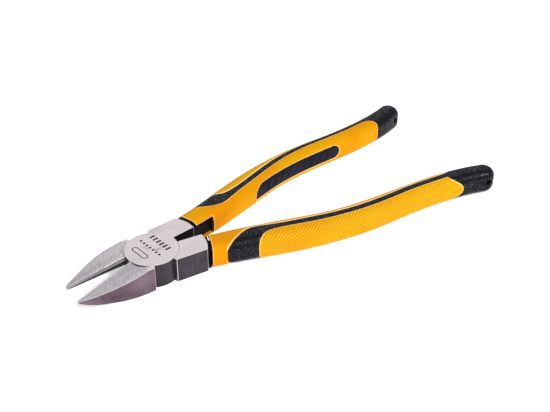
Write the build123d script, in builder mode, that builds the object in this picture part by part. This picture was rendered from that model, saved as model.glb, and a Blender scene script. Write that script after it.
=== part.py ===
"""Diagonal cutting pliers with a flush lap joint and two moulded two-colour grips.

Units are millimetres. The origin is on the pivot axis at the back face of the joint, +Z runs along
the pivot towards the marked face, +X runs to the handle ends and -X to the jaw tips.

Each half is drawn as if the tool were closed, with its handle on the +Y side of its own plane, and
that plane is turned by half of the jaw opening. The over half carries the upper boss, the -Y jaw
and the +Y handle. The under half carries the lower boss, the +Y jaw and the -Y handle.
"""

import os
from math import cos, radians, sin, tan

from build123d import *

# --- joint ---------------------------------------------------------------------------------
head_height = 11.7        # thickness of the joint, face to face
boss_radius = 11.5        # round lap that each half turns on
boss_gap = 0.15           # radial gap between a boss and the other half
lap_gap = 0.06            # gap between the two boss faces
pin_radius = 4.2          # pivot pin
pin_clearance = 0.03      # radial, in the under half, where the pin turns
pin_head_radius = 6.2     # countersunk head, flush with the back face
pin_head_depth = 1.8
pin_cover = 1.0           # steel left over the pin at the marked face
half_opening = 7.4        # degrees that each half stands away from closed
mark_depth = 0.15         # depth of the plain marks stamped in the boss
bar_count = 6             # row of short bars
bar_pitch = 2.2
bar_length = 2.6
bar_width = 1.0
dot_count = 7             # row of dots
dot_pitch = 2.1
dot_radius = 0.6
loop_length = 9.6         # long oval outline
loop_width = 2.8
loop_line = 0.45
mark_pitch = 5.2          # from row to row
mark_turn = -90.0         # degrees that the rows stand from the tool's middle line
mark_shift = 1.0          # middle of the rows towards the over half's handle

# --- jaws ----------------------------------------------------------------------------------
jaw_length = 37.6         # pivot to tips
heel_x = 6.8              # where the jaw's outer side begins
heel_y = 11.3
jaw_step = 0.35           # boss face above the ground jaw top, at the seam
jaw_slope = 12.0          # degrees that the jaw top falls towards the tip
tip_height = 2.0          # thickness left at the tips
tip_width = 1.1           # width left at the tips
belly_rise = 1.5          # how far the jaw's underside has risen where the nose begins
nose_length = 11.0        # rounded stretch of the underside behind the tips
hollow_radius = 14.0      # round hollow ground along the jaw top
hollow_depth = 0.55
edge_drop = 1.5           # cutting edge below the jaw top
edge_land = 0.7           # width of the upper bevel, seen from above
bevel_height = 1.2        # lower bevel
bevel_width = 0.8
relief_angle = 44.0       # inner wall below the lower bevel, from upright
edge_gap = 0.03           # each cutting edge short of the middle when closed

# --- shanks and tangs ----------------------------------------------------------------------
shoulder_x = 6.5          # where the shank's outer side begins
shoulder_y = 11.6
shank_x = 22.6            # end of the bare shank, at its inner corner
shank_y = 10.9            # outer side of the shank's end
shank_corner = 1.9        # how far the outer corner stands back from the end
inner_gap = 0.3           # inner side of the shank from the middle when closed
tang_start = 16.0         # inside the shank
tang_end = 138.0
tang_front_half = 4.0     # half of the tang's width at the collar
tang_back_half = 2.6      # and at its end
tang_height = 6.2
neck_start = 17.0         # stepped neck that fills the space between shank and collar
neck_inner = 1.4          # its two sides from the middle when closed
neck_outer = 10.4
neck_height = 9.6
neck_clear = 0.12         # from the neck's end to the collar

# --- grips ---------------------------------------------------------------------------------
collar_gap = 1.0          # shank's end to the grip's collar
collar_y = 6.2            # middle of the collar
collar_half = 5.9         # half of the collar's width
collar_hollow = 0.4       # how far the collar's front edge curves in
collar_slant = 2.6        # outer corner of the collar ahead of its inner corner
grip_end = 165.8          # pivot to the end of the cap
grip_height = 11.9        # thickness of the grip
grip_rise = 0.3           # middle of the grip above the middle of the joint
grip_round = 4.0          # radius along the grip's top and bottom edges
# distance from the pivot, middle of the grip, half of its width
grip_stations = [
    (42, 8.7, 6.5),
    (60, 11.9, 6.75),
    (80, 14.5, 6.2),
    (97, 14.7, 6.0),
    (120, 12.6, 5.6),
    (136, 11.7, 5.5),
    (149, 12.1, 5.45),
]
cap_y = 13.8              # middle of the cap's end
cap_half = 5.4            # half of the cap's width where its round end begins
shell_wall = 1.8          # orange mouldings over the black core
core_start = 36.0         # black core's front end, inside the collar
# The black strip and band lie between these two lines, seen from above. Each row is a distance
# from the pivot and an offset from the middle of the grip, positive towards its outer side.
panel_front = [(18, 13), (27.0, 6.9), (31.5, 4.2), (37.2, -0.2), (42.5, -2.9), (50, -3.0)]
pad_front = [(39.5, 12), (42.2, 6.8), (44.4, 4.4), (47.6, 1.9), (53, 0.6)]
strip_rows = {            # the strip's two edges further back, from the inner side outwards
    "over": [(66, -1.9, 0.9), (83, -0.3, 2.3), (100, 0.9, 3.3), (120, 1.0, 3.4), (138, 1.0, 3.4)],
    "under": [(66, -2.5, 0.8), (83, -2.1, 1.0), (100, -1.9, 1.1), (120, -2.2, 0.8), (138, -2.2, 0.8)],
}
panel_end = 145.0         # back of the inner panel
pad_end = 147.4           # back of the outer pad
pad_end_round = 6.5       # how far its corners stand back
notch_end = 34.6          # window that bares the tang in the collar's inner side
notch_height = 8.6
lanyard_x = 160.4         # small hole across the cap, from side to side
lanyard_rise = 0.6        # above the middle of the grip
lanyard_radius = 1.3

# --- inlay ---------------------------------------------------------------------------------
inlay_start = 63.6
inlay_end = 118.5
inlay_height = 6.4
inlay_rise = 0.9          # middle of the inlay above the middle of the grip
inlay_depth = 1.0
rib_proud = 0.35          # ribs above the panel
rib_count = 9
rib_width = 1.3
rib_height = 3.8
rib_lean = 1.6            # offset of a rib's top from its foot, so the ribs slant

# --- worked out ----------------------------------------------------------------------------
middle = head_height / 2
far = 60.0                # larger than any cross-size, for cutting blocks
tilt = tan(radians(jaw_slope))
jaw_top = head_height - jaw_step
tip_top = jaw_top - (jaw_length - boss_radius) * tilt
tip_bottom = tip_top - tip_height
nose_start = jaw_length - nose_length
collar_x = shank_x + collar_gap
cap_x = grip_end - cap_half
grip_middle = middle + grip_rise
grip_top = grip_middle + grip_height / 2
grip_low = grip_middle - grip_height / 2
grip_rows = [(collar_x, collar_y, collar_half)] + grip_stations + [(cap_x, cap_y, cap_half)]
station_room = 4.0        # least distance from a piece's end to its next station
least_round = 0.8


def plan(side, height=0.0):
    """A level plane turned with one half; its X runs down the closed tool's middle."""
    turn = radians(half_opening)
    x_dir = (cos(turn), side * sin(turn), 0)
    return Plane(origin=(0, 0, height), x_dir=x_dir, z_dir=(0, 0, 1))


def upright(side):
    """An upright plane along the same middle line, with its Y running up."""
    turn = radians(half_opening)
    x_dir = (cos(turn), side * sin(turn), 0)
    return Plane(origin=(0, 0, 0), x_dir=x_dir, z_dir=(side * sin(turn), -cos(turn), 0))


# --- steel halves --------------------------------------------------------------------------
def jaw_grind(side):
    """What is ground off above the jaw: a sloping face with a long hollow in it."""
    with BuildPart() as cutter:
        with BuildSketch(upright(side)):
            with BuildLine():
                Polyline(
                    (0, jaw_top + boss_radius * tilt),
                    (-jaw_length - 5, tip_top - 5 * tilt),
                    (-jaw_length - 5, far),
                    (0, far),
                    close=True,
                )
            make_face()
        extrude(amount=far, both=True)
        start = plan(side).from_local_coords((-boss_radius, -side * 6.0, 0))
        finish = plan(side).from_local_coords((-jaw_length, -side * 2.2, 0))
        low = jaw_top + hollow_radius - hollow_depth
        run = finish - start
        groove = Vector(run.X, run.Y, tip_top - jaw_top)
        axis_start = Vector(start.X, start.Y, low) - groove * 0.5
        with BuildSketch(Plane(origin=axis_start, z_dir=groove)):
            Circle(hollow_radius)
        extrude(amount=groove.length * 2)
        with BuildSketch(Plane.XY):
            Circle(boss_radius)
        extrude(amount=far, mode=Mode.SUBTRACT)
    return cutter


def edge_grind(side):
    """What is ground off the jaw's inner side: two bevels that meet at the cutting edge."""
    slope = radians(jaw_slope)
    drop = edge_drop / cos(slope)
    root = plan(side).from_local_coords((-boss_radius, 0, jaw_top - drop))
    along = plan(side).from_local_coords((-boss_radius - cos(slope), 0, jaw_top - drop - sin(slope)))
    run = along - root
    across = plan(side).from_local_coords((0, -side, 0))
    relief = bevel_width + (far - bevel_height) * tan(radians(relief_angle))
    rise = far * edge_land / edge_drop
    back = edge_gap
    up = 1 if across.cross(run).Z < 0 else -1
    section = Plane(origin=root - run * 6, x_dir=across, z_dir=run)
    with BuildPart() as cutter:
        with BuildSketch(section):
            with BuildLine():
                Polyline(
                    (-5, up * -far),
                    (back + relief, up * -far),
                    (back + bevel_width, up * -bevel_height),
                    (back, 0),
                    (back + rise, up * far),
                    (-5, up * far),
                    close=True,
                )
            make_face()
        extrude(amount=jaw_length)
        with BuildSketch(Plane.XY.offset(-far)):
            Circle(boss_radius + boss_gap)
        extrude(amount=2 * far, mode=Mode.SUBTRACT)
    return cutter


def jaw_and_shank(side):
    """Full-height steel of one half in plan, before the laps are cut."""
    with BuildPart() as steel:
        with BuildSketch(plan(side)):
            with BuildLine():
                Polyline(
                    (-jaw_length, 0),
                    (0, 0),
                    (-heel_x, -side * heel_y),
                    (-15.3, -side * 10.4),
                )
                Spline(
                    (-15.3, -side * 10.4),
                    (-22.0, -side * 8.9),
                    (-28.5, -side * 6.2),
                    (-jaw_length, -side * tip_width),
                    tangents=[(-1, side * 0.12), (-0.7, side * 0.48)],
                )
                Line((-jaw_length, -side * tip_width), (-jaw_length, 0))
            make_face()
        extrude(amount=head_height)
        with BuildSketch(upright(side)):
            with BuildLine():
                Polyline(
                    (0, head_height + 1),
                    (0, 0),
                    (-boss_radius, 0),
                    (-nose_start, belly_rise),
                )
                ThreePointArc(
                    (-nose_start, belly_rise),
                    (-nose_start - nose_length * 0.62, belly_rise + (tip_bottom - belly_rise) * 0.36),
                    (-jaw_length, tip_bottom),
                )
                Polyline(
                    (-jaw_length, tip_bottom),
                    (-jaw_length - 1, head_height + 1),
                    (0, head_height + 1),
                )
            make_face()
        extrude(amount=far, both=True, mode=Mode.INTERSECT)
        with BuildSketch(plan(side)):
            with BuildLine():
                Polyline(
                    (shank_x, side * inner_gap),
                    (0, side * inner_gap),
                    (shoulder_x, side * shoulder_y),
                    (shank_x - shank_corner, side * shank_y),
                )
                ThreePointArc(
                    (shank_x - shank_corner, side * shank_y),
                    (shank_x - 0.15, side * shank_y * 0.56),
                    (shank_x, side * inner_gap),
                )
            make_face()
        extrude(amount=head_height)
    return steel


def pin_shape(clearance):
    """The pivot pin turned about its axis, or the room that it needs."""
    shaft = pin_radius + clearance
    head = pin_head_radius + clearance
    with BuildPart() as turned:
        with BuildSketch(Plane.XZ):
            with BuildLine():
                Polyline(
                    (0, 0),
                    (head, 0),
                    (shaft, pin_head_depth),
                    (shaft, head_height - pin_cover),
                    (0, head_height - pin_cover),
                    close=True,
                )
            make_face()
        revolve(axis=Axis.Z)
    return turned


def boss_marks():
    """Plain rows of bars, dots and an oval, in place of any lettering."""
    level = plan(1, head_height - mark_depth)
    face = level.shift_origin(level.from_local_coords((0, mark_shift, 0))).rotated((0, 0, mark_turn))
    with BuildPart() as marks:
        with BuildSketch(face):
            with Locations((0, mark_pitch)):
                with GridLocations(bar_pitch, 0, bar_count, 1):
                    Rectangle(bar_width, bar_length)
            with GridLocations(dot_pitch, 0, dot_count, 1):
                Circle(dot_radius)
            with Locations((0, -mark_pitch)):
                SlotOverall(loop_length, loop_width)
                SlotOverall(loop_length - 2 * loop_line, loop_width - 2 * loop_line, mode=Mode.SUBTRACT)
        extrude(amount=1)
    return marks


def pliers_half(side, upper):
    """One forged half: boss, jaw, shank and tang."""
    own_floor = middle + lap_gap / 2 if upper else 0.0
    other_floor = 0.0 if upper else middle - lap_gap / 2
    layer = middle - lap_gap / 2
    with BuildPart() as half:
        add(jaw_and_shank(side).part)
        with BuildSketch(Plane.XY.offset(other_floor)):
            Circle(boss_radius + boss_gap)
        extrude(amount=middle + lap_gap / 2, mode=Mode.SUBTRACT)
        with BuildSketch(Plane.XY.offset(own_floor)):
            Circle(boss_radius)
        extrude(amount=layer)
        add(jaw_grind(side).part, mode=Mode.SUBTRACT)
        add(edge_grind(side).part, mode=Mode.SUBTRACT)
        add(tang(side).part)
        add(neck(side).part)
        add(pin_shape(0 if upper else pin_clearance).part, mode=Mode.SUBTRACT)
        if upper:
            add(boss_marks().part, mode=Mode.SUBTRACT)
    return half


# --- grips ---------------------------------------------------------------------------------
def middle_at(x):
    """Middle and half-width of the grip at a distance from the pivot."""
    x = min(max(x, collar_x), cap_x)
    for (x0, y0, w0), (x1, y1, w1) in zip(grip_rows, grip_rows[1:]):
        if x <= x1:
            share = (x - x0) / (x1 - x0)
            return y0 + share * (y1 - y0), w0 + share * (w1 - w0)


def tang(side):
    """Bar that runs back from the shank along the middle of the grip."""
    stops = [row[0] for row in grip_rows if row[0] < tang_end - station_room]
    stops = [tang_start] + stops + [tang_end]
    sides = []
    for x in stops:
        share = max(0.0, (x - collar_x) / (tang_end - collar_x))
        sides.append((x, middle_at(x)[0], tang_front_half + share * (tang_back_half - tang_front_half)))
    with BuildPart() as bar:
        with BuildSketch(plan(side, middle - tang_height / 2)):
            with BuildLine():
                outer = Spline(*[(x, side * (y + w)) for x, y, w in sides])
                inner = Spline(*[(x, side * (y - w)) for x, y, w in sides])
                Line(outer @ 0, inner @ 0)
                Line(outer @ 1, inner @ 1)
            make_face()
        extrude(amount=tang_height)
    return bar


def neck(side):
    """Stepped block behind the shank, ending just short of the slanting collar."""
    slope = collar_slant / (2 * collar_half)
    inner_x = collar_x - neck_clear + (collar_y - neck_inner) * slope
    outer_x = collar_x - neck_clear + (collar_y - neck_outer) * slope
    with BuildPart() as block:
        with BuildSketch(plan(side, middle - neck_height / 2)):
            with BuildLine():
                Polyline(
                    (neck_start, side * neck_inner),
                    (inner_x, side * neck_inner),
                    (outer_x, side * neck_outer),
                    (neck_start, side * neck_outer),
                    close=True,
                )
            make_face()
        extrude(amount=neck_height)
    return block


def grip_body(side, inset, start):
    """The grip's outer shape drawn in by an inset, from a distance from the pivot to the cap."""
    half_height = grip_height / 2 - inset
    sides = [(start, *middle_at(start))]
    sides += [row for row in grip_rows if row[0] > start + station_room]
    outer = [(x, side * (y + w - inset)) for x, y, w in sides]
    inner = [(x, side * (y - w + inset)) for x, y, w in sides]
    outer[0] = (start - collar_slant / 2, outer[0][1])
    inner[0] = (start + collar_slant / 2, inner[0][1])
    front_y = (outer[0][1] + inner[0][1]) / 2
    with BuildPart() as body:
        with BuildSketch(plan(side, grip_middle - half_height)):
            with BuildLine():
                Spline(*outer)
                ThreePointArc(outer[-1], (grip_end - inset, side * cap_y), inner[-1])
                Spline(*inner)
                ThreePointArc(inner[0], (start + collar_hollow, front_y), outer[0])
            make_face()
        extrude(amount=2 * half_height)
        levels = body.faces().sort_by(Axis.Z)
        rims = (levels[0].edges() + levels[-1].edges()).filter_by(lambda edge: edge.center().X > start + 2)
        fillet(rims, max(grip_round - inset, least_round))
    return body


def line_zone(side, rows, outward):
    """Everything on one side of a line seen from above, given as offsets from the grip's middle."""
    edge = [(x, side * (middle_at(x)[0] + offset)) for x, offset in rows]
    beyond = side * outward * far
    with BuildPart() as zone:
        with BuildSketch(plan(side, -far)):
            with BuildLine():
                Spline(*edge)
                Polyline(edge[-1], (edge[-1][0], beyond), (edge[0][0], beyond), edge[0])
            make_face()
        extrude(amount=2 * far)
    return zone


def back_zone(side):
    """Everything ahead of the outer pad's rounded back end, seen from the side."""
    corner = pad_end - pad_end_round
    with BuildPart() as zone:
        with BuildSketch(upright(side)):
            with BuildLine():
                Spline((corner, grip_low), (pad_end, grip_middle), (corner, grip_top))
                Polyline((corner, grip_top), (corner, far), (0, far), (0, -far), (corner, -far))
                Line((corner, -far), (corner, grip_low))
            make_face()
        extrude(amount=far, both=True)
    return zone


def make_grip(side, name):
    """Black core, inner shell with its inlay, and outer pad of one grip."""
    envelope = grip_body(side, 0, collar_x)
    core_body = grip_body(side, shell_wall, core_start)
    bar = tang(side)

    strip = strip_rows[name]
    pad_edge = pad_front + [(x, out) for x, back, out in strip] + [(grip_end, strip[-1][2])]
    shoulder = strip[-1][1]
    panel_edge = panel_front + [(x, back) for x, back, out in strip]
    panel_edge += [
        (panel_end - 2.2, shoulder - 0.9),
        (panel_end, shoulder - 3.4),
        (panel_end - 0.2, -cap_half - 2),
    ]
    panel_zone = line_zone(side, panel_edge, -1)

    with BuildPart() as outer_pad:
        add(envelope.part)
        add(core_body.part, mode=Mode.SUBTRACT)
        add(line_zone(side, pad_edge, 1).part, mode=Mode.INTERSECT)
        add(back_zone(side).part, mode=Mode.INTERSECT)
    outer_pad.part.label = name + "_outer_pad"

    with BuildPart() as inlay:
        add(envelope.part)
        add(panel_zone.part, mode=Mode.INTERSECT)
        with BuildSketch(upright(side)):
            with BuildLine():
                low = grip_middle + inlay_rise - inlay_height / 2
                top = low + inlay_height
                round_x = inlay_end - inlay_height / 2
                Line((round_x, low), (inlay_start, low))
                Spline(
                    (inlay_start, low),
                    (inlay_start + 0.11 * inlay_height, low + 0.62 * inlay_height),
                    (inlay_start + 0.9 * inlay_height, top),
                    tangents=[(0, 1), (1, 0)],
                )
                Line((inlay_start + 0.9 * inlay_height, top), (round_x, top))
                ThreePointArc((round_x, top), (inlay_end, (low + top) / 2), (round_x, low))
            make_face()
        extrude(amount=far, both=True, mode=Mode.INTERSECT)
        add(grip_body(side, inlay_depth, collar_x).part, mode=Mode.SUBTRACT)

    with BuildPart() as ribs:
        add(grip_body(side, -rib_proud, collar_x).part)
        add(panel_zone.part, mode=Mode.INTERSECT)
        with BuildSketch(upright(side)):
            span = inlay_end - inlay_start - 2.6 * inlay_height
            with Locations((inlay_start + 1.5 * inlay_height + span / 2, grip_middle + inlay_rise)):
                with GridLocations(span / (rib_count - 1), 0, rib_count, 1):
                    Polygon(
                        (-rib_width / 2 - rib_lean / 2, -rib_height / 2),
                        (rib_width / 2 - rib_lean / 2, -rib_height / 2),
                        (rib_width / 2 + rib_lean / 2, rib_height / 2),
                        (-rib_width / 2 + rib_lean / 2, rib_height / 2),
                        align=None,
                    )
        extrude(amount=far, both=True, mode=Mode.INTERSECT)
        add(grip_body(side, inlay_depth / 2, collar_x).part, mode=Mode.SUBTRACT)

    with BuildPart() as inner_shell:
        add(envelope.part)
        add(core_body.part, mode=Mode.SUBTRACT)
        add(panel_zone.part, mode=Mode.INTERSECT)
        add(bar.part, mode=Mode.SUBTRACT)
        add(inlay.part, mode=Mode.SUBTRACT)
        with BuildSketch(plan(side, grip_middle - notch_height / 2)):
            with Locations((notch_end - far / 2, side * (collar_y - far / 2))):
                Rectangle(far, far)
        extrude(amount=notch_height, mode=Mode.SUBTRACT)
    inner_shell.part.label = name + "_inner_shell"

    with BuildPart() as inlay_plate:
        add(inlay.part)
        add(ribs.part)
    inlay_plate.part.label = name + "_inlay"

    with BuildPart() as core:
        add(envelope.part)
        add(panel_zone.part, mode=Mode.SUBTRACT)
        add(outer_pad.part, mode=Mode.SUBTRACT)
        add(core_body.part)
        add(bar.part, mode=Mode.SUBTRACT)
        with BuildSketch(upright(side)):
            with Locations((lanyard_x, grip_middle + lanyard_rise)):
                Circle(lanyard_radius)
        extrude(amount=far, both=True, mode=Mode.SUBTRACT)
    core.part.label = name + "_core"

    return [core, inner_shell, outer_pad, inlay_plate]


over_half = pliers_half(1, True)
over_half.part.label = "over_half"
under_half = pliers_half(-1, False)
under_half.part.label = "under_half"
pivot_pin = pin_shape(0)
pivot_pin.part.label = "pivot_pin"

os.makedirs("parts", exist_ok=True)
for piece in [over_half, under_half, pivot_pin] + make_grip(1, "over") + make_grip(-1, "under"):
    export_step(piece.part, "parts/" + piece.part.label + ".step")
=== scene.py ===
"""Looks of the diagonal cutting pliers: ground and blackened steel, and two moulded two-colour grips."""

from math import atan2, cos, pi, radians

import bpy
from mathutils import Matrix, Vector
from mathutils.kdtree import KDTree


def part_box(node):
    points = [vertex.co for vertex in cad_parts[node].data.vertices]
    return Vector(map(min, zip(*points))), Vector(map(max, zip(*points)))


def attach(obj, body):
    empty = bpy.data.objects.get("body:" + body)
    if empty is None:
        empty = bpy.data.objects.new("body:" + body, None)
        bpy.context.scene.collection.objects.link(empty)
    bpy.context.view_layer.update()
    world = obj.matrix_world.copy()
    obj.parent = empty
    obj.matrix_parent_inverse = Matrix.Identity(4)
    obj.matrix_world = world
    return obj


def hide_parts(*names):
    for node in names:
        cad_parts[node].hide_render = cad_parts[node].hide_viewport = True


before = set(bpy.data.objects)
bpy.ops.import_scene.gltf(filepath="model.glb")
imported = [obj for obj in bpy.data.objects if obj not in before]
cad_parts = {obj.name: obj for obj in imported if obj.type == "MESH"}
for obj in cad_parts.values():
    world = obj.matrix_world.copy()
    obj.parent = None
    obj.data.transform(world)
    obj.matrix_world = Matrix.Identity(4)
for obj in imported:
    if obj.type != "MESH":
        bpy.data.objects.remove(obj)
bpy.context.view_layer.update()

MM = 0.001

# --- places taken from the frame -------------------------------------------------------------
HALF_OPENING = radians(7.4)
HEAD_LOW, HEAD_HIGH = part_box("over_half")
HEAD_TOP = HEAD_HIGH.z
MIDDLE = HEAD_TOP / 2
PAD_LOW, PAD_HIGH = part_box("over_outer_pad")
GRIP_MIDDLE = (PAD_LOW.z + PAD_HIGH.z) / 2
FLOOR = min(PAD_LOW.z, HEAD_LOW.z)

# --- sizes of the finish ---------------------------------------------------------------------
BOSS_RADIUS = 11.5 * MM       # the round lap on the joint
JAW_START = -0.6 * BOSS_RADIUS
MARK_DEPTH = 0.15 * MM        # of the plain marks on it
MARK_MARGIN = 0.5 * MM        # plain rim of the boss outside the marks
FLATNESS = 0.02 * MM          # how far off a level a point may be and still count as on it
UPRIGHT = 0.3                 # a wall's normal rises less than this
LEVEL = 0.9                   # and a flat top's or bottom's more than this
STEEL_EDGE = 0.12 * MM        # width of the burnished edges, paler partly as a painted highlight
GRIP_VOXEL = 0.26 * MM        # size of the even mesh of the orange mouldings
CORE_VOXEL = 0.34 * MM        # of the black core
INLAY_VOXEL = 0.20 * MM       # of the inlays
PAD_VOXEL = 0.21 * MM         # and of the pads, which carry the knurl
NECK_START = 15.0 * MM        # inside the shank, ahead of where the neck and tang leave it
WINDOW_END = 36.0 * MM        # just behind the window in the collar
NECK_STEP = 0.5 * MM          # least step down from the shank to the neck
GRIP_RADIUS = 6.0 * MM        # about half of the grip's width
KNURL_PITCH = 1.45 * MM       # from one row of pad bumps to the next but one
KNURL_STRETCH = 1.2           # how much longer than wide a bump is
KNURL_HEIGHT = 0.18 * MM      # of a bump above the pad
KNURL_MARGIN = 0.75 * MM      # smooth rim left round the pad
RIM = "rim"                   # the attribute that says how near a point is to a rim
RIM_WIDTH = 0.75 * MM         # how wide the painted pale highlight line along a rim is
PAINTED_SHADE = "painted_shade"             # and the one that marks the collar's front and its window's walls, which get painted shade
KNURL = "knurl"               # the attribute that says how high a point of the knurl stands, which also places its painted highlight and shade


# --- helpers ---------------------------------------------------------------------------------
def only(piece):
    """Leave one object selected and active."""
    bpy.ops.object.select_all(action="DESELECT")
    piece.select_set(True)
    bpy.context.view_layer.objects.active = piece


def copy_of(node, name):
    """A separate copy of a CAD node, with its loose triangles merged."""
    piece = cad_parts[node].copy()
    piece.data = piece.data.copy()
    for key in list(piece.keys()):
        del piece[key]
    piece.parent = None
    piece.name = name
    bpy.context.scene.collection.objects.link(piece)
    piece.data.materials.clear()
    only(piece)
    bpy.ops.object.mode_set(mode="EDIT")
    bpy.ops.mesh.select_all(action="SELECT")
    bpy.ops.mesh.remove_doubles(threshold=0.002 * MM)
    bpy.ops.object.mode_set(mode="OBJECT")
    return piece


def add_modifier(piece, kind, **settings):
    """Add a modifier with its settings, and apply it."""
    only(piece)
    modifier = piece.modifiers.new(kind.lower(), kind)
    for setting, value in settings.items():
        setattr(modifier, setting, value)
    bpy.ops.object.modifier_apply(modifier=modifier.name)


def finish(piece, body, slot, *nodes):
    """Hang the piece on the body it rides on, and hide the CAD parts that it stands for."""
    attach(piece, body)
    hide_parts(*nodes)


# --- shader groups ---------------------------------------------------------------------------
def new_group(name, inputs, outputs):
    """An empty node group with named sockets, and its two end nodes."""
    group = bpy.data.node_groups.new(name, "ShaderNodeTree")
    for label, kind, value in inputs:
        socket = group.interface.new_socket(name=label, in_out="INPUT", socket_type=kind)
        socket.default_value = value
    for label, kind in outputs:
        group.interface.new_socket(name=label, in_out="OUTPUT", socket_type=kind)
    return group, group.nodes.new("NodeGroupInput"), group.nodes.new("NodeGroupOutput")


def math_node(tree, operation, first, second=None, clamp=False):
    """A math node fed by sockets or by plain numbers."""
    node = tree.nodes.new("ShaderNodeMath")
    node.operation = operation
    node.use_clamp = clamp
    for socket, value in zip(node.inputs, (first, second)):
        if value is None:
            continue
        if isinstance(value, (int, float)):
            socket.default_value = value
        else:
            tree.links.new(value, socket)
    return node.outputs[0]


def map_node(tree, value, low, high, to_low=0.0, to_high=1.0):
    """A clamped map from one range to another."""
    node = tree.nodes.new("ShaderNodeMapRange")
    node.inputs["From Min"].default_value = low
    node.inputs["From Max"].default_value = high
    node.inputs["To Min"].default_value = to_low
    node.inputs["To Max"].default_value = to_high
    tree.links.new(value, node.inputs["Value"])
    return node.outputs["Result"]


def noise_node(tree, vector, scale, detail=2.0, roughness=0.5):
    node = tree.nodes.new("ShaderNodeTexNoise")
    node.inputs["Scale"].default_value = scale
    node.inputs["Detail"].default_value = detail
    node.inputs["Roughness"].default_value = roughness
    tree.links.new(vector, node.inputs["Vector"])
    return node.outputs["Fac"]


def mix_colour(tree, mask, first, second):
    """Blend two colours, each a socket or a plain colour, by a mask."""
    node = tree.nodes.new("ShaderNodeMix")
    node.data_type = "RGBA"
    tree.links.new(mask, node.inputs[0])
    for socket, value in ((node.inputs[6], first), (node.inputs[7], second)):
        if isinstance(value, tuple):
            socket.default_value = value
        else:
            tree.links.new(value, socket)
    return node.outputs[2]


def object_place(tree):
    return tree.nodes.new("ShaderNodeTexCoord").outputs["Object"]


def make_broken_rim_highlight():
    """A rim mask for a painted highlight, broken up by noise."""
    group, start, end = new_group(
        "broken_rim",
        [("Rim", "NodeSocketFloat", 0.0), ("Breakup", "NodeSocketFloat", 0.3)],
        [("Mask", "NodeSocketFloat")],
    )
    broken = noise_node(group, object_place(group), 900.0, 3.0)
    loss = math_node(group, "MULTIPLY", broken, start.outputs["Breakup"])
    mask = math_node(group, "SUBTRACT", start.outputs["Rim"], loss, clamp=True)
    group.links.new(mask, end.inputs["Mask"])
    return group


def make_fine_grain():
    """Height of a fine moulded or blasted grain, and a slow variation of tone."""
    group, start, end = new_group(
        "fine_grain",
        [("Size", "NodeSocketFloat", 1800.0), ("Patches", "NodeSocketFloat", 60.0)],
        [("Height", "NodeSocketFloat"), ("Tone", "NodeSocketFloat")],
    )
    place = object_place(group)
    fine = group.nodes.new("ShaderNodeTexNoise")
    fine.inputs["Detail"].default_value = 3.0
    group.links.new(place, fine.inputs["Vector"])
    group.links.new(start.outputs["Size"], fine.inputs["Scale"])
    slow = group.nodes.new("ShaderNodeTexNoise")
    slow.inputs["Detail"].default_value = 2.0
    group.links.new(place, slow.inputs["Vector"])
    group.links.new(start.outputs["Patches"], slow.inputs["Scale"])
    group.links.new(fine.outputs["Fac"], end.inputs["Height"])
    group.links.new(slow.outputs["Fac"], end.inputs["Tone"])
    return group


def make_grinding():
    """Fine straight scratches across the tool, as a belt grinder leaves them."""
    group, start, end = new_group(
        "grinding",
        [("Along", "NodeSocketFloat", 300.0), ("Across", "NodeSocketFloat", 5000.0)],
        [("Height", "NodeSocketFloat")],
    )
    place = object_place(group)
    turn = group.nodes.new("ShaderNodeVectorRotate")
    turn.inputs["Axis"].default_value = (0, 0, 1)
    turn.inputs["Angle"].default_value = radians(28)
    group.links.new(place, turn.inputs["Vector"])
    stretch = group.nodes.new("ShaderNodeCombineXYZ")
    group.links.new(start.outputs["Across"], stretch.inputs["X"])
    group.links.new(start.outputs["Along"], stretch.inputs["Y"])
    group.links.new(start.outputs["Along"], stretch.inputs["Z"])
    scaled = group.nodes.new("ShaderNodeVectorMath")
    scaled.operation = "MULTIPLY"
    group.links.new(turn.outputs["Vector"], scaled.inputs[0])
    group.links.new(stretch.outputs["Vector"], scaled.inputs[1])
    lines = noise_node(group, scaled.outputs["Vector"], 1.0, 3.0, 0.6)
    group.links.new(lines, end.inputs["Height"])
    return group


BROKEN_RIM_HIGHLIGHT = make_broken_rim_highlight()
FINE_GRAIN = make_fine_grain()
GRINDING = make_grinding()


def place_group(tree, group, **values):
    node = tree.nodes.new("ShaderNodeGroup")
    node.node_tree = group
    for label, value in values.items():
        node.inputs[label].default_value = value
    return node


def add_bump(tree, shader, height, distance, strength=1.0, socket="Normal"):
    bump = tree.nodes.new("ShaderNodeBump")
    bump.inputs["Strength"].default_value = strength
    bump.inputs["Distance"].default_value = distance
    tree.links.new(height, bump.inputs["Height"])
    tree.links.new(bump.outputs["Normal"], shader.inputs[socket])


def new_material(name, **settings):
    """A Principled material with plain values on its own sockets."""
    material = bpy.data.materials.new(name)
    material.use_nodes = True
    shader = material.node_tree.nodes["Principled BSDF"]
    for label, value in settings.items():
        shader.inputs[label.replace("_", " ")].default_value = value
    return material, material.node_tree, shader


def linear(code):
    """A colour from its six-digit code."""
    parts = [int(code[i:i + 2], 16) / 255 for i in (0, 2, 4)]
    return tuple(p / 12.92 if p <= 0.04045 else ((p + 0.055) / 1.055) ** 2.4 for p in parts) + (1.0,)


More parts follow.
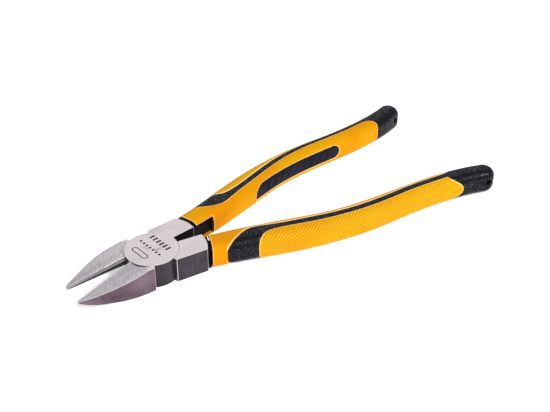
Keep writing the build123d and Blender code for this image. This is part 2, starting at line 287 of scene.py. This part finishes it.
def make_ground_steel(name, light, dark, rough, brushed=0.0):
    """Satin steel with a belt-ground surface and slight cloudiness."""
    material, tree, shader = new_material(name, Metallic=0.45)
    grain = place_group(tree, FINE_GRAIN, Size=2400.0, Patches=110.0)
    lines = place_group(tree, GRINDING)
    cloud = map_node(tree, grain.outputs["Tone"], 0.3, 0.7, 0.0, 0.2)
    speckle = map_node(tree, grain.outputs["Height"], 0.35, 0.65, 0.0, 0.8)
    share = math_node(tree, "ADD", cloud, speckle)
    if brushed:
        streak = map_node(tree, lines.outputs["Height"], 0.4, 0.65, 0.0, brushed)
        share = math_node(tree, "ADD", math_node(tree, "MULTIPLY", share, 1.0 - brushed), streak)
    colour = mix_colour(tree, share, linear(light), linear(dark))
    tree.links.new(colour, shader.inputs["Base Color"])
    sheen = map_node(tree, lines.outputs["Height"], 0.3, 0.7, rough - 0.06, rough + 0.08)
    tree.links.new(sheen, shader.inputs["Roughness"])
    height = math_node(tree, "ADD", lines.outputs["Height"], grain.outputs["Height"])
    add_bump(tree, shader, height, 0.02 * MM, 0.5)
    return material


def make_blackened_steel(name, dark, light):
    """Dark purple-brown oxide with rubbed streaks."""
    material, tree, shader = new_material(name, Metallic=0.45)
    grain = place_group(tree, FINE_GRAIN, Size=1500.0, Patches=120.0)
    lines = place_group(tree, GRINDING, Along=120.0, Across=2200.0)
    tone = map_node(tree, grain.outputs["Tone"], 0.35, 0.65)
    colour = mix_colour(tree, tone, linear(dark), linear(light))
    streak = map_node(tree, lines.outputs["Height"], 0.52, 0.75, 0.0, 0.4)
    colour = mix_colour(tree, streak, colour, linear("6A5C64"))
    tree.links.new(colour, shader.inputs["Base Color"])
    sheen = map_node(tree, grain.outputs["Height"], 0.3, 0.7, 0.34, 0.5)
    tree.links.new(sheen, shader.inputs["Roughness"])
    add_bump(tree, shader, lines.outputs["Height"], 0.03 * MM, 0.6)
    return material


def make_orange(name, base, deep, rough, grain_size, grain_depth, glint=0.0):
    """Orange moulding, with a painted highlight along its rims, painted highlight and shade on its knurl,
    painted shade on its shaded walls, and deeper in slow patches.
    """
    material, tree, shader = new_material(name, Specular_IOR_Level=0.04, Coat_Roughness=0.3)
    grain = place_group(tree, FINE_GRAIN, Size=grain_size, Patches=45.0)
    tone = map_node(tree, grain.outputs["Tone"], 0.38, 0.62)
    colour = mix_colour(tree, tone, linear(base), linear(deep))
    raised = tree.nodes.new("ShaderNodeAttribute")
    raised.attribute_name = KNURL
    # Bump tops are painted paler and valleys darker: painted highlight and painted shade on the knurl.
    for low, high, code, most in ((0.05, 0.6, "FFC62C", 0.7), (-0.05, -0.28, "C86E00", 0.6)):
        share = map_node(tree, raised.outputs["Fac"], low, high, 0.0, most)
        colour = mix_colour(tree, share, colour, linear(code))
    if glint:
        top = map_node(tree, raised.outputs["Fac"], 0.1, 0.6, 0.0, glint)
        tree.links.new(top, shader.inputs["Coat Weight"])
    # The collar's front and its window's walls are darkened as painted shade.
    painted_shade = tree.nodes.new("ShaderNodeAttribute")
    painted_shade.attribute_name = PAINTED_SHADE
    colour = mix_colour(tree, painted_shade.outputs["Fac"], colour, linear("2A1408"))
    # The pale line along the rims is a painted highlight.
    rim_highlight = tree.nodes.new("ShaderNodeAttribute")
    rim_highlight.attribute_name = RIM
    broken = place_group(tree, BROKEN_RIM_HIGHLIGHT, Breakup=0.35)
    tree.links.new(rim_highlight.outputs["Fac"], broken.inputs["Rim"])
    rim = math_node(tree, "MULTIPLY", broken.outputs["Mask"], 0.75)
    colour = mix_colour(tree, rim, colour, linear("FFE3A0"))
    tree.links.new(colour, shader.inputs["Base Color"])
    sheen = map_node(tree, grain.outputs["Height"], 0.3, 0.7, rough - 0.05, rough + 0.07)
    tree.links.new(sheen, shader.inputs["Roughness"])
    add_bump(tree, shader, grain.outputs["Height"], grain_depth, 0.6)
    return material


def make_black(name, code, light, rough, grain_size, grain_depth, glint=0.0):
    """Black rubber-like plastic with a coarse grain that glints here and there."""
    material, tree, shader = new_material(name, Specular_IOR_Level=0.08, Coat_Roughness=0.24, Coat_IOR=1.65)
    shader.inputs["Coat Tint"].default_value = (0.86, 0.9, 1.0, 1.0)
    grain = place_group(tree, FINE_GRAIN, Size=grain_size, Patches=70.0)
    tone = map_node(tree, grain.outputs["Tone"], 0.35, 0.65)
    colour = mix_colour(tree, tone, linear(code), linear(light))
    tree.links.new(colour, shader.inputs["Base Color"])
    sheen = map_node(tree, grain.outputs["Height"], 0.35, 0.65, rough + 0.12, rough - 0.12)
    tree.links.new(sheen, shader.inputs["Roughness"])
    add_bump(tree, shader, grain.outputs["Height"], grain_depth, 0.35)
    if glint:
        speck = map_node(tree, grain.outputs["Height"], 0.56, 0.62, 0.0, glint)
        tree.links.new(speck, shader.inputs["Coat Weight"])
    return material


GROUND = make_ground_steel("ground_steel", "EBE1E3", "BDB4B8", 0.46)
JAW_GROUND = make_ground_steel("jaw_ground_steel", "E0DADE", "A09AA2", 0.38, 0.6)
BLACKENED = make_blackened_steel("blackened_steel", "221A24", "3A303A")
JAW_BLACKENED = make_blackened_steel("jaw_blackened_steel", "4C3844", "74606C")
# A darker copy of the ground steel for the cutting bevels: painted shade.
CUTTING_BEVEL = make_ground_steel("cutting_bevel", "A29CA0", "7C767C", 0.4, 0.4)
# Edges burnished by wear, made paler also as a painted highlight along them.
BURNISH_AND_HIGHLIGHT = make_ground_steel("burnished_and_highlight_edge", "F4F0F0", "E6E0E2", 0.25)
# Near-black for the tang, neck, boss seam and walls facing the other half: painted shade between the parts.
THROAT_SHADE = make_black("throat_painted_shade", "0A080B", "141015", 0.6, 2000.0, 0.01 * MM)
MARK_FLOOR = make_black("mark_floor", "2E2A30", "3A363C", 0.6, 2000.0, 0.01 * MM)
ORANGE_SHELL = make_orange("orange_shell_finish", "DC9C00", "D98C00", 0.5, 2600.0, 0.015 * MM)
ORANGE_PAD = make_orange("orange_pad_finish", "DEAA00", "DC9E00", 0.48, 2600.0, 0.02 * MM, 0.6)
BLACK_CORE = make_black("black_core_finish", "0C0B12", "12111A", 0.45, 2100.0, 0.22 * MM, 0.9)
INLAY = make_black("inlay_finish", "15141F", "20202E", 0.5, 2200.0, 0.04 * MM)


# --- steel -----------------------------------------------------------------------------------
STEEL_FINISHES = (
    BLACKENED,
    GROUND,
    JAW_GROUND,
    BURNISH_AND_HIGHLIGHT,
    MARK_FLOOR,
    THROAT_SHADE,
    CUTTING_BEVEL,
    JAW_BLACKENED,
)


def slot_of(finish_material):
    """The material slot that a finish has on every steel piece."""
    return STEEL_FINISHES.index(finish_material)


def jaw_side(node):
    """The side that a half's jaw is on, which is the other one from its handle."""
    return -1 if node.startswith("over") else 1


def closed_place(node, place):
    """Where a point lies when the tool is closed."""
    side = 1 if node.startswith("over") else -1
    return Matrix.Rotation(-side * HALF_OPENING, 3, "Z") @ place


def set_back(node, points):
    """Whether all points are on the neck or the tang, which are lower than the shank before them."""
    return node != "pivot_pin" and all(
        closed_place(node, point).x > NECK_START and NECK_STEP < point.z < HEAD_TOP - NECK_STEP
        for point in points
    )


def in_shaded_throat(node, corners, place, normal):
    """Whether a face belongs to the tang, the neck, the seam round the boss or a shank's inner wall, which
    are painted near-black as shade.
    """
    if node == "pivot_pin":
        return False
    behind = set_back(node, corners)
    wall = abs(normal.z) < UPRIGHT
    inner = wall and place.x > BOSS_RADIUS * 0.8 and normal.y * place.y < 0
    cut_out = node == "under_half" and wall and place.z > MIDDLE
    seam = cut_out and abs(place.xy.length - BOSS_RADIUS) < 0.3 * MM
    return behind or inner or seam


def faces_other_jaw(node, normal):
    """Whether a jaw's face looks across at the other jaw, as its cutting bevels and inner wall do."""
    return jaw_side(node) * normal.y < -0.35


def steel_finish(node, corners, place, normal):
    """The finish that a face of a steel part has, by where it is and which way it looks."""
    on_boss = node == "over_half" and place.xy.length < BOSS_RADIUS - MARK_MARGIN
    on_jaw = place.x < JAW_START
    if on_boss and place.z > HEAD_TOP - MARK_DEPTH - FLATNESS:
        return GROUND if place.z > HEAD_TOP - FLATNESS else MARK_FLOOR
    # Tang, neck, boss seam and inner walls take the near-black painted shade.
    if in_shaded_throat(node, corners, place, normal):
        return THROAT_SHADE
    # A jaw's cutting bevels take the darker painted-shade steel, and its inner wall the near-black painted
    # shade.
    if on_jaw and faces_other_jaw(node, normal):
        return CUTTING_BEVEL if normal.z > UPRIGHT else THROAT_SHADE
    if on_jaw and normal.z > UPRIGHT:
        return JAW_GROUND
    if on_jaw and place.xy.length > BOSS_RADIUS:
        return JAW_BLACKENED if normal.z > -LEVEL else GROUND
    if abs(normal.z) > LEVEL and (place.z < 0.2 * MM or place.z > HEAD_TOP - 0.5 * MM):
        return GROUND
    return BLACKENED


def steel_piece(node):
    """A copy of a CAD steel part with each face given its finish: ground tops, blackened sides and
    near-black painted shade in the throat.
    """
    piece = copy_of(node, node + "_steel")
    for material in STEEL_FINISHES:
        piece.data.materials.append(material)
    only(piece)
    bpy.ops.object.mode_set(mode="EDIT")
    bpy.ops.mesh.select_all(action="SELECT")
    bpy.ops.mesh.dissolve_limited(angle_limit=radians(0.5))
    bpy.ops.object.mode_set(mode="OBJECT")
    for face in piece.data.polygons:
        corners = [piece.data.vertices[i].co for i in face.vertices]
        face.material_index = slot_of(steel_finish(node, corners, face.center, face.normal))
    return piece


def bevel_steel(piece, node):
    """Round the long outer edges and give the narrow faces the burnished finish, paler partly as a painted
    highlight.
    """
    only(piece)
    bpy.ops.object.mode_set(mode="EDIT")
    bpy.ops.mesh.select_mode(type="EDGE")
    bpy.ops.mesh.select_all(action="DESELECT")
    bpy.ops.object.mode_set(mode="OBJECT")
    mesh = piece.data
    faces_at = {}
    for face in mesh.polygons:
        for key in face.edge_keys:
            faces_at.setdefault(key, []).append(face)
    for edge in mesh.edges:
        pair = faces_at.get(tuple(sorted(edge.vertices)), [])
        if len(pair) != 2:
            continue
        ends = [mesh.vertices[i].co for i in edge.vertices]
        centre = (ends[0] + ends[1]) / 2
        on_marks = centre.xy.length < BOSS_RADIUS - MARK_MARGIN and centre.z > HEAD_TOP - 2 * MARK_DEPTH
        outward = (pair[0].normal - pair[1].normal).dot(pair[0].center - pair[1].center) > 0
        on_lap = abs(centre.z - MIDDLE) < 0.1 * MM and centre.xy.length < BOSS_RADIUS + 0.3 * MM
        behind = set_back(node, ends)
        sharp = pair[0].normal.angle(pair[1].normal) > radians(28)
        if sharp and outward and not (on_marks or on_lap or behind):
            edge.select = True
    bpy.ops.object.mode_set(mode="EDIT")
    bpy.ops.mesh.bevel(
        offset=STEEL_EDGE,
        segments=2,
        profile=0.6,
        material=slot_of(BURNISH_AND_HIGHLIGHT),
        clamp_overlap=False,
    )
    bpy.ops.object.mode_set(mode="OBJECT")
    bpy.ops.object.shade_smooth_by_angle(angle=radians(25))


def make_steel():
    """The two forged halves, and the pin that holds them together."""
    for node, body, slot in (
        ("over_half", "over", "steel"),
        ("under_half", "under", "steel"),
        ("pivot_pin", "over", "pin_steel"),
    ):
        piece = steel_piece(node)
        bevel_steel(piece, node)
        finish(piece, body, slot, node)


# --- grips -----------------------------------------------------------------------------------
HANDLE_SIDE = {"over": 1, "under": -1}


def even_mesh(piece, voxel, material, rounds):
    """Put a moulding on an even mesh, with its rims rounded as a mould leaves them."""
    piece.data.materials.append(material)
    add_modifier(piece, "REMESH", mode="VOXEL", voxel_size=voxel, adaptivity=0.0)
    add_modifier(piece, "SMOOTH", factor=0.5, iterations=rounds)
    only(piece)
    bpy.ops.object.shade_smooth()
    return piece


def rim_points(piece):
    """Points every fraction of a millimetre along the sharp rims of a moulding."""
    mesh = piece.data
    sides = {}
    for face in mesh.polygons:
        for key in face.edge_keys:
            sides.setdefault(key, []).append(face.normal)
    points = []
    for (first, second), normals in sides.items():
        if len(normals) == 2 and normals[0].angle(normals[1], 0) > radians(40):
            start, end = mesh.vertices[first].co, mesh.vertices[second].co
            steps = max(1, round((end - start).length / (0.3 * MM)))
            points += [start.lerp(end, i / steps) for i in range(steps + 1)]
    tree = KDTree(len(points))
    for i, point in enumerate(points):
        tree.insert(point, i)
    tree.balance()
    return tree


def mark_rims(piece, rims):
    """Write down how near each point is to a rim, for the painted pale highlight line along it."""
    nearness = piece.data.attributes.new(RIM, "FLOAT", "POINT")
    for vertex in piece.data.vertices:
        share = 1.0 - rims.find(vertex.co)[2] / RIM_WIDTH
        nearness.data[vertex.index].value = min(max(1.6 * share, 0.0), 1.0)


def mark_painted_shade(shell, side):
    """Mark the walls that face the shank or the window in the collar, where shade is painted in dark."""
    turn = Matrix.Rotation(-side * HALF_OPENING, 3, "Z")
    dark = shell.data.attributes.new(PAINTED_SHADE, "FLOAT", "POINT")
    nearness = shell.data.attributes[RIM]
    for vertex in shell.data.vertices:
        place, normal = turn @ vertex.co, turn @ vertex.normal
        if place.x < WINDOW_END and normal.x < -0.75:
            dark.data[vertex.index].value = 0.9
            nearness.data[vertex.index].value = 0.0


def knurl(pad, rims, side):
    """Raise rows of small diamonds on the pad's outer face, and leave its rim smooth."""
    turn = Matrix.Rotation(-side * HALF_OPENING, 3, "Z")
    mesh = pad.data
    outermost = {}
    for vertex in mesh.vertices:
        place = turn @ vertex.co
        row = round(place.x / (2 * MM))
        outermost[row] = max(outermost.get(row, -1.0), side * place.y)
    moves = []
    for vertex in mesh.vertices:
        place, normal = turn @ vertex.co, turn @ vertex.normal
        level = place.z - GRIP_MIDDLE
        outward = side * normal.y + normal.z * (1 if level > 0 else -1)
        if outward < 0.3:
            continue
        margin = rims.find(vertex.co)[2]
        fade = min(max((margin - KNURL_MARGIN) / (0.5 * MM), 0.0), 1.0)
        if fade == 0.0:
            continue
        share = place.x / (2 * MM)
        row = int(share // 1)
        low = outermost.get(row, outermost.get(row + 1, 0.0))
        high = outermost.get(row + 1, low)
        centre = low + (share - row) * (high - low) - GRIP_RADIUS
        around = GRIP_RADIUS * atan2(level, side * place.y - centre)
        first = (place.x / KNURL_STRETCH + around) / KNURL_PITCH
        second = (place.x / KNURL_STRETCH - around) / KNURL_PITCH
        bump = (0.5 + 0.5 * cos(2 * pi * first)) * (0.5 + 0.5 * cos(2 * pi * second))
        moves.append((vertex.index, vertex.normal * (KNURL_HEIGHT * fade * bump), fade * (bump - 0.3)))
    height = mesh.attributes.new(KNURL, "FLOAT", "POINT")
    for index, move, bump in moves:
        mesh.vertices[index].co += move
        height.data[index].value = bump


def make_grips():
    """Core, inner shell, outer pad and inlay of each handle."""
    for side in ("over", "under"):
        core = even_mesh(copy_of(side + "_core", side + "_core_moulding"), CORE_VOXEL, BLACK_CORE, 3)
        finish(core, side, "black_core", side + "_core")
        shell = copy_of(side + "_inner_shell", side + "_inner_shell_moulding")
        rims = rim_points(shell)
        shell = even_mesh(shell, GRIP_VOXEL, ORANGE_SHELL, 4)
        mark_rims(shell, rims)
        mark_painted_shade(shell, HANDLE_SIDE[side])
        finish(shell, side, "orange_shell", side + "_inner_shell")
        pad = copy_of(side + "_outer_pad", side + "_outer_pad_moulding")
        rims = rim_points(pad)
        pad = even_mesh(pad, PAD_VOXEL, ORANGE_PAD, 4)
        mark_rims(pad, rims)
        knurl(pad, rims, HANDLE_SIDE[side])
        finish(pad, side, "orange_pad", side + "_outer_pad")
        inlay = even_mesh(copy_of(side + "_inlay", side + "_inlay_moulding"), INLAY_VOXEL, INLAY, 2)
        finish(inlay, side, "inlay", side + "_inlay")


# --- stage -----------------------------------------------------------------------------------
def make_camera():
    """A camera low over the near side of the jaws, looking along the tool."""
    bpy.ops.object.camera_add(
        location=(-0.1509, -0.3060, MIDDLE + 0.2639),
        rotation=(radians(90 - 35.015), radians(0.01), radians(-34.93)),
    )
    camera = bpy.context.object
    camera.data.sensor_width = 36
    camera.data.lens = 66.65
    bpy.context.scene.camera = camera


def make_floor():
    bpy.ops.mesh.primitive_plane_add(size=4, location=(0, 0, FLOOR))
    floor = bpy.context.object
    floor.name = "floor"
    material, tree, shader = new_material("pale_floor", Base_Color=(0.9, 0.9, 0.9, 1), Roughness=0.9)
    shader.inputs["Specular IOR Level"].default_value = 0.0
    shader.inputs["Emission Color"].default_value = (1, 1, 1, 1)
    shader.inputs["Emission Strength"].default_value = 0.42
    floor.data.materials.append(material)


def make_lights():
    """A dim even room, a broad light behind the tool, and a smaller one over the near side."""
    world = bpy.data.worlds.new("studio")
    bpy.context.scene.world = world
    world.use_nodes = True
    world.node_tree.nodes["Background"].inputs["Color"].default_value = (1, 1, 1, 1)
    world.node_tree.nodes["Background"].inputs["Strength"].default_value = 0.40
    for place, size, power in (
        ((0.46, 0.66, 0.56), 0.9, 1.6),
        ((-0.20, -0.45, 0.56), 0.25, 1.6),
        ((0.26, -0.55, 0.60), 0.12, 4.2),
    ):
        bpy.ops.object.light_add(type="AREA", location=place)
        light = bpy.context.object
        light.data.size = size
        light.data.energy = power
        light.rotation_euler = (-Vector(place)).to_track_quat("-Z", "Y").to_euler()


make_camera()
make_steel()
make_grips()
make_floor()
make_lights()
bpy.context.scene.view_settings.view_transform = "Standard"
